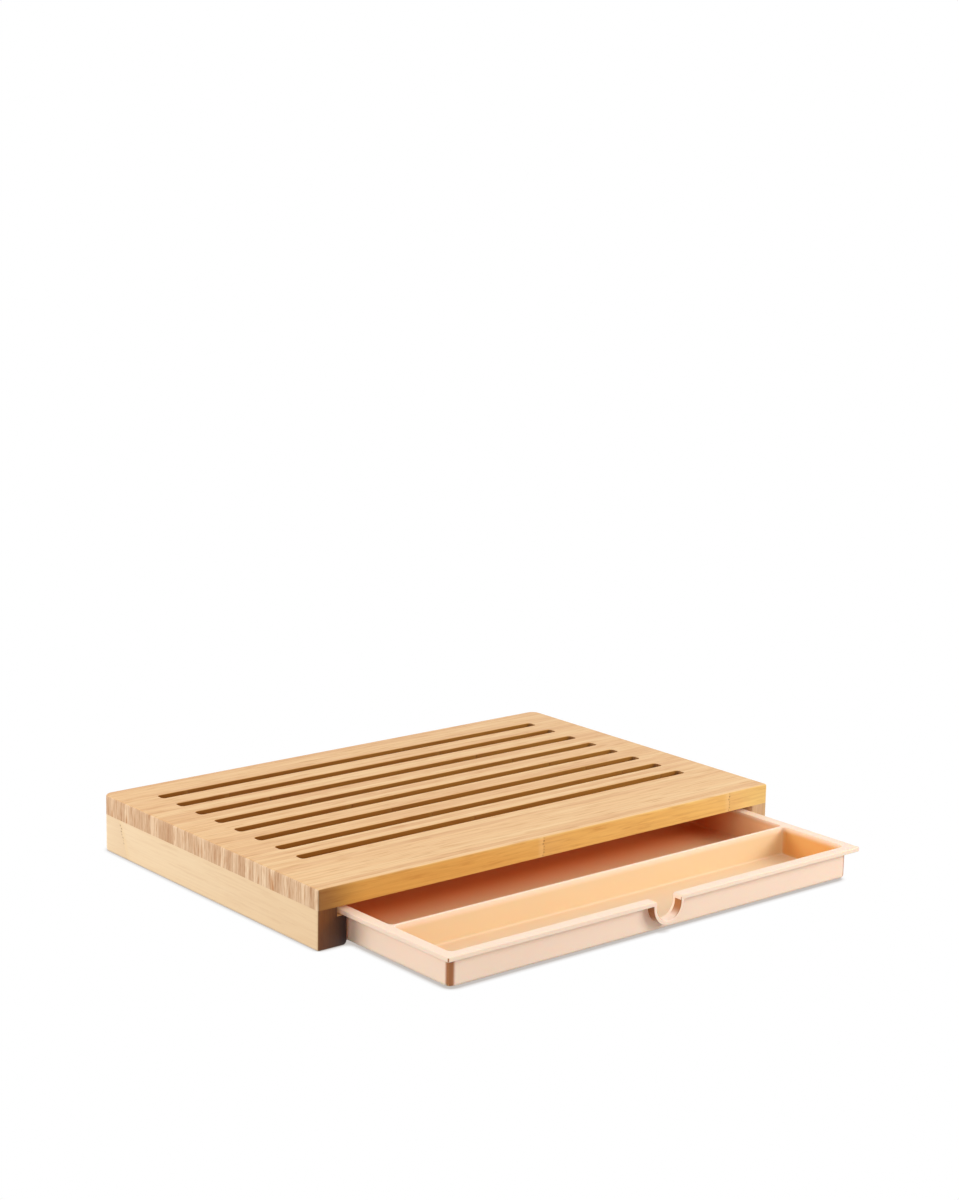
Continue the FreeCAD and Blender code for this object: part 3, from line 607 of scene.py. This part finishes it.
DIVIDER_FROM_FRONT = 75.0 * MM
RIM_THICKNESS = 3.6 * MM
WALL_FROM_RIM = 6.8 * MM  # from the rim's outer edge to the wall's outer face
RIM_TO_WALL = 8.0 * MM  # from the rim's outer edge to the middle of the wall under it
RIM_WIDTH = 9.2 * MM  # the rim and the wall under it, seen from above
LIP_STEP = 0.2 * MM  # how far a point stands before the wall's face to count as the notch's lip

SUNK_START, SUNK_FULL = 0.7 * MM, 6 * MM  # how far below the rim's top the inside's painted shade sets in
REAR_START, REAR_FULL = 40 * MM, 92 * MM  # how far behind the divider the painted shadow in the rear compartment deepens

# How squarely a rounding faces along X, times how squarely along Y: where a corner's painted shade starts
# and where it is full. In the middle of a rounding this is 0.5.
WALL_ROUNDING = (0.1, 0.42)
RIM_ROUNDING = (0.4, 0.47)


def resin_material(name):
    """ABS, injection moulded in a spark-textured mould.

    It is an even peach colour with a faint flow cloud, and has a soft satin gloss broken by a very fine
    texture. It is a little translucent, so the light that comes out of its depths has gone through resin. Its
    compartments, their end walls and the rear compartment are painted a deeper orange than the outside, as
    shade, and its outer corners and the notch's lip flanks are painted darker still.
    """
    settings = bpy.context.scene.tray_settings
    material, tree, output = new_material(name)
    place = add_node(tree, "ShaderNodeTexCoord").outputs["Object"]
    axes = add_node(tree, "ShaderNodeSeparateXYZ", {0: place}).outputs
    normal = add_node(tree, "ShaderNodeNewGeometry").outputs["Normal"]
    upwards = add_node(tree, "ShaderNodeSeparateXYZ", {0: normal}).outputs[2]
    facings = facing_parts(tree)
    across_facing, along_facing = facings[0], facings[1]

    # Inside the walls and below the rim's top, painted shade makes the resin deeper than outside; the floors
    # are painted paler, where more light falls.
    from_middle = add_node(tree, "ShaderNodeMath", {0: axes[0]}, operation="ABSOLUTE")
    inside_x = add_node(tree, "ShaderNodeMath", {0: from_middle, 1: TRAY_HIGH.x - RIM_TO_WALL},
                        operation="LESS_THAN")
    past_front = add_node(tree, "ShaderNodeMath", {0: axes[1], 1: TRAY_LOW.y + RIM_WIDTH},
                          operation="GREATER_THAN")
    inside = add_node(tree, "ShaderNodeMath", {0: inside_x, 1: past_front}, operation="MULTIPLY")
    sunk = add_node(tree, "ShaderNodeMapRange",
                    {0: axes[2], 1: TRAY_HIGH.z - SUNK_START, 2: TRAY_HIGH.z - SUNK_FULL, 3: 0.0, 4: 1.0},
                    interpolation_type="SMOOTHSTEP")
    inner_share = add_node(tree, "ShaderNodeMath", {0: inside, 1: sunk}, operation="MULTIPLY")
    level = add_node(tree, "ShaderNodeMapRange", {0: upwards, 1: 0.3, 2: 0.9},
                     interpolation_type="SMOOTHSTEP")
    lining_shade = add_node(tree, "ShaderNodeMix",
                      {0: level, 6: with_alpha(settings.inner), 7: with_alpha(settings.front_floor)},
                      data_type="RGBA").outputs[2]

    # Painted shade low on the compartments' end walls.
    end_facing = add_node(tree, "ShaderNodeMapRange", {0: across_facing, 1: 0.3, 2: 0.9},
                          interpolation_type="SMOOTHSTEP")
    end_wall_shade_share = add_node(tree, "ShaderNodeMath", {0: end_facing, 1: inner_share}, operation="MULTIPLY")

    # Painted shadow in the rear compartment, under the slab, which deepens towards its back.
    divider_y = TRAY_LOW.y + DIVIDER_FROM_FRONT
    behind = add_node(tree, "ShaderNodeMath", {0: axes[1], 1: divider_y}, operation="GREATER_THAN")
    rear_share = add_node(tree, "ShaderNodeMath", {0: behind, 1: inner_share}, operation="MULTIPLY")
    farther = add_node(tree, "ShaderNodeMapRange",
                       {0: axes[1], 1: divider_y + REAR_START, 2: divider_y + REAR_FULL},
                       interpolation_type="SMOOTHSTEP")
    rear_shadow_colour = add_node(tree, "ShaderNodeMix",
                           {0: farther, 6: with_alpha(settings.rear_near_shade), 7: with_alpha(settings.rear_far_shade)},
                           data_type="RGBA").outputs[2]

    # Painted shade on the upright outer corners, where a surface faces along both X and Y: a wide part of
    # the rounding below the rim, and a narrow one on the rim itself.
    outside = add_node(tree, "ShaderNodeMath", {0: 1.0, 1: inside}, operation="SUBTRACT")
    both_facing = add_node(tree, "ShaderNodeMath", {0: across_facing, 1: along_facing}, operation="MULTIPLY")
    wall_rounding, rim_rounding = (
        add_node(tree, "ShaderNodeMapRange", {0: both_facing, 1: start, 2: full},
                 interpolation_type="SMOOTHSTEP")
        for start, full in (WALL_ROUNDING, RIM_ROUNDING))
    wall_corner, rim_corner = (
        add_node(tree, "ShaderNodeMath", {0: rounding, 1: outside}, operation="MULTIPLY")
        for rounding in (wall_rounding, rim_rounding))
    # Painted shade on the flanks of the notch's lip, which stands in front of the wall.
    before_wall = add_node(tree, "ShaderNodeMath", {0: axes[1], 1: TRAY_LOW.y + WALL_FROM_RIM - LIP_STEP},
                           operation="LESS_THAN")
    flank = add_node(tree, "ShaderNodeMapRange", {0: across_facing, 1: 0.5, 2: 0.95},
                     interpolation_type="SMOOTHSTEP")
    lip_flank = add_node(tree, "ShaderNodeMath", {0: flank, 1: before_wall}, operation="MULTIPLY")
    either = add_node(tree, "ShaderNodeMath", {0: wall_corner, 1: lip_flank}, operation="MAXIMUM")
    under_rim = add_node(tree, "ShaderNodeMath", {0: axes[2], 1: TRAY_HIGH.z - RIM_THICKNESS},
                         operation="LESS_THAN")
    under_share = add_node(tree, "ShaderNodeMath", {0: either, 1: under_rim}, operation="MULTIPLY")
    corner_shade_share = add_node(tree, "ShaderNodeMath", {0: under_share, 1: rim_corner}, operation="MAXIMUM")

    layers = (
        (inner_share, lining_shade),
        (corner_shade_share, with_alpha(settings.corner)),
        (end_wall_shade_share, with_alpha(settings.end_wall_shade)),
        (rear_share, rear_shadow_colour),
    )
    colour = with_alpha(settings.resin)
    for share, tone in layers:
        colour = add_node(tree, "ShaderNodeMix", {0: share, 6: colour, 7: tone}, data_type="RGBA").outputs[2]

    cloud_place = add_node(tree, "ShaderNodeVectorMath", {0: place, 1: FLOW_CLOUD}, operation="DIVIDE")
    cloud = add_node(tree, "ShaderNodeTexNoise", {"Vector": cloud_place, "Scale": 1.0, "Detail": 2.0})
    shade = add_node(tree, "ShaderNodeMapRange",
                     {0: cloud, 1: 0.3, 2: 0.7, 3: CLOUD_SHADES[0], 4: CLOUD_SHADES[1]})
    clouded = add_node(tree, "ShaderNodeVectorMath", {0: colour, "Scale": shade}, operation="SCALE")
    grain = add_node(tree, "ShaderNodeTexNoise",
                     {"Vector": place, "Scale": 1 / settings.texture_grain, "Detail": 1.0})
    roughness = add_node(tree, "ShaderNodeMapRange",
                         {0: grain, 1: 0.3, 2: 0.7, 3: RESIN_ROUGHNESS[0], 4: RESIN_ROUGHNESS[1]})
    relief = add_node(tree, "ShaderNodeBump", {"Strength": 0.25, "Distance": 0.01 * MM, "Height": grain})
    shader = add_node(tree, "ShaderNodeBsdfPrincipled",
                      {"Base Color": clouded, "Roughness": roughness, "IOR": 1.53, "Normal": relief,
                       "Subsurface Weight": 0.3, "Subsurface Radius": RESIN_REACH, "Subsurface Scale": MM})
    tree.links.new(shader.outputs[0], output.inputs["Surface"])
    return material


class FinishTray(Operator):
    """Give the tray its moulded peach resin"""
    bl_idname = "cutting_board.finish_tray"
    bl_label = "Finish Tray"

    def execute(self, context):
        finish_node("crumb_tray", resin_material("abs_moulded_peach"))
        return {"FINISHED"}


# ---------------------------------------------------------------- the stage

CAMERA_PLACE = Vector((-1.1698, -1.3911, 0.5943))
CAMERA_YAW = math.radians(39.75)
CAMERA_PITCH = math.radians(11.79)
CAMERA_ROLL = math.radians(1.11)
CAMERA_LENS = 70.84  # millimetres, on the long side's 36 mm

FLOOR_HALF = 6.0  # metres
SHADOW_REACH = 7.5 * MM  # how far from the object its shadow on the floor still shows
COVER_REACH = 60 * MM  # how far up from the floor under the slab the light from the slots is looked for
COVER_INSET = 8 * MM  # from the slab's outline to the covered floor's, inside the rails' thickness

# The softboxes: where each stands, what it faces, and its width and height, in metres.
LEFT_SOFTBOX = (Vector((-1.75, 0.78, 0.74)), BOARD_MIDDLE, 1.1, 0.75)
RIGHT_SOFTBOX = (Vector((1.2, -1.45, 0.8)), Vector((0.0, -0.15, 0.02)), 1.0, 0.7)


def turn_to(forward, roll=0.0):
    """A rotation that looks along forward with its top upwards, then rolls."""
    forward = forward.normalized()
    right = forward.cross(Vector((0, 0, 1))).normalized()
    up = right.cross(forward)
    rolled_right = math.cos(roll) * right + math.sin(roll) * up
    rolled_up = math.cos(roll) * up - math.sin(roll) * right
    return Matrix((rolled_right, rolled_up, -forward)).transposed()


def add_camera(scene):
    """The camera, a little above the board and off its left front corner."""
    camera = bpy.data.objects.new("camera", bpy.data.cameras.new("camera"))
    camera.data.lens = CAMERA_LENS
    forward = Vector((math.sin(CAMERA_YAW) * math.cos(CAMERA_PITCH),
                      math.cos(CAMERA_YAW) * math.cos(CAMERA_PITCH),
                      -math.sin(CAMERA_PITCH)))
    camera.matrix_world = Matrix.Translation(CAMERA_PLACE) @ turn_to(forward, CAMERA_ROLL).to_4x4()
    scene.collection.objects.link(camera)
    scene.camera = camera


def add_softbox(scene, name, place, target, width, height, power):
    """A rectangular softbox that faces a target."""
    lamp = bpy.data.lights.new(name, "AREA")
    lamp.shape = "RECTANGLE"
    lamp.size = width
    lamp.size_y = height
    lamp.energy = power
    softbox = bpy.data.objects.new(name, lamp)
    softbox.matrix_world = Matrix.Translation(place) @ turn_to(target - place).to_4x4()
    softbox.visible_camera = False
    softbox.visible_glossy = False  # gloss shows the white surroundings, with no hot lamp in them
    scene.collection.objects.link(softbox)


def background_ray(tree):
    """1 for a ray that shows the background: straight from the camera, or by way of gloss or glass."""
    path = add_node(tree, "ShaderNodeLightPath").outputs
    gloss = add_node(tree, "ShaderNodeMath", {0: path["Is Camera Ray"], 1: path["Is Glossy Ray"]},
                     operation="MAXIMUM")
    return add_node(tree, "ShaderNodeMath", {0: gloss, 1: path["Is Transmission Ray"]}, operation="MAXIMUM")


def floor_tone(tree, reach, dark, pale, dark_until, pale_from):
    """The floor's colour by how open the space above a point is, within reach: dark where it is closed in."""
    open_sky = add_node(tree, "ShaderNodeAmbientOcclusion", {"Distance": reach}, samples=16)
    openness = add_node(tree, "ShaderNodeMapRange",
                        {0: open_sky.outputs["AO"], 1: dark_until, 2: pale_from},
                        interpolation_type="SMOOTHSTEP")
    return add_node(tree, "ShaderNodeMix", {0: openness, 6: with_alpha(dark), 7: with_alpha(pale)},
                    data_type="RGBA").outputs[2]


def painted_floor_material(name, settings):
    """Board painted matt white: it shows white with a soft shadow next to the object, and throws back plain
    diffuse light. Under the slab, what light there is comes down through the slots."""
    material, tree, output = new_material(name)
    beside = floor_tone(tree, SHADOW_REACH, settings.shadow, settings.floor, dark_until=0.25, pale_from=0.85)
    beneath = floor_tone(tree, COVER_REACH, settings.covered, settings.shadow, dark_until=0.1, pale_from=1.1)
    place = add_node(tree, "ShaderNodeTexCoord").outputs["Object"]
    inset = Vector((COVER_INSET, COVER_INSET, 0.0))
    covered = inside_outline(tree, place, BOARD_LOW + inset, BOARD_HIGH - inset)
    tone = add_node(tree, "ShaderNodeMix", {0: covered, 6: beside, 7: beneath}, data_type="RGBA").outputs[2]
    shown = add_node(tree, "ShaderNodeEmission", {"Color": tone, "Strength": 1.0})
    plain = add_node(tree, "ShaderNodeBsdfDiffuse", {"Color": with_alpha(settings.floor_bounce)})
    surface = add_node(tree, "ShaderNodeMixShader", {0: background_ray(tree), 1: plain, 2: shown})
    tree.links.new(surface.outputs[0], output.inputs["Surface"])
    return material


def add_floor(scene, settings):
    """A plain matt floor that shows white, and keeps the shadow next to the object."""
    mesh = bpy.data.meshes.new("floor")
    shape = bmesh.new()
    bmesh.ops.create_grid(shape, x_segments=1, y_segments=1, size=FLOOR_HALF)
    shape.to_mesh(mesh)
    shape.free()
    floor = bpy.data.objects.new("floor", mesh)
    scene.collection.objects.link(floor)
    mesh.materials.append(painted_floor_material("painted_white_floor", settings))


def add_world(scene, settings):
    """Even soft light from all round, on a white background."""
    world = bpy.data.worlds.new("studio")
    world.use_nodes = True
    tree = world.node_tree
    tree.nodes.clear()
    strength = add_node(tree, "ShaderNodeMix", {0: background_ray(tree), 2: settings.fill, 3: 1.0})
    light = add_node(tree, "ShaderNodeBackground", {"Color": (1.0, 1.0, 1.0, 1.0), "Strength": strength})
    add_node(tree, "ShaderNodeOutputWorld", {"Surface": light})
    scene.world = world


class SetStage(Operator):
    """Set the camera, the soft studio light and the pale floor"""
    bl_idname = "cutting_board.set_stage"
    bl_label = "Set Stage"

    def execute(self, context):
        scene, settings = context.scene, context.scene.stage_settings
        scene.view_settings.view_transform = "Standard"
        add_camera(scene)
        add_floor(scene, settings)
        add_world(scene, settings)
        add_softbox(scene, "left_softbox", *LEFT_SOFTBOX, settings.left_power)
        add_softbox(scene, "right_softbox", *RIGHT_SOFTBOX, settings.right_power)
        return {"FINISHED"}


# ---------------------------------------------------------------- panel and registration

STEPS = (FinishSlab, FinishRails, FinishDowels, FinishTray, SetStage)
SETTINGS = {
    "bamboo_settings": BambooSettings,
    "tray_settings": TraySettings,
    "stage_settings": StageSettings,
}


class CuttingBoardPanel(Panel):
    """Lists the steps and their settings"""
    bl_idname = "VIEW3D_PT_cutting_board"
    bl_label = "Cutting Board"
    bl_space_type = "VIEW_3D"
    bl_region_type = "UI"
    bl_category = "Cutting Board"

    def draw(self, context):
        for step in STEPS:
            self.layout.operator(step.bl_idname)
        for name, group in SETTINGS.items():
            box = self.layout.box()
            for setting in group.__annotations__:
                box.prop(getattr(context.scene, name), setting)


CLASSES = (*SETTINGS.values(), *STEPS, CuttingBoardPanel)


def register():
    for cls in CLASSES:
        bpy.utils.register_class(cls)
    for name, group in SETTINGS.items():
        setattr(bpy.types.Scene, name, PointerProperty(type=group))


def unregister():
    for name in SETTINGS:
        delattr(bpy.types.Scene, name)
    for cls in reversed(CLASSES):
        bpy.utils.unregister_class(cls)


def main():
    """Registers the add-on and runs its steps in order."""
    register()
    bpy.ops.cutting_board.finish_slab()
    bpy.ops.cutting_board.finish_rails()
    bpy.ops.cutting_board.finish_dowels()
    bpy.ops.cutting_board.finish_tray()
    bpy.ops.cutting_board.set_stage()


if __name__ == "__main__":
    main()
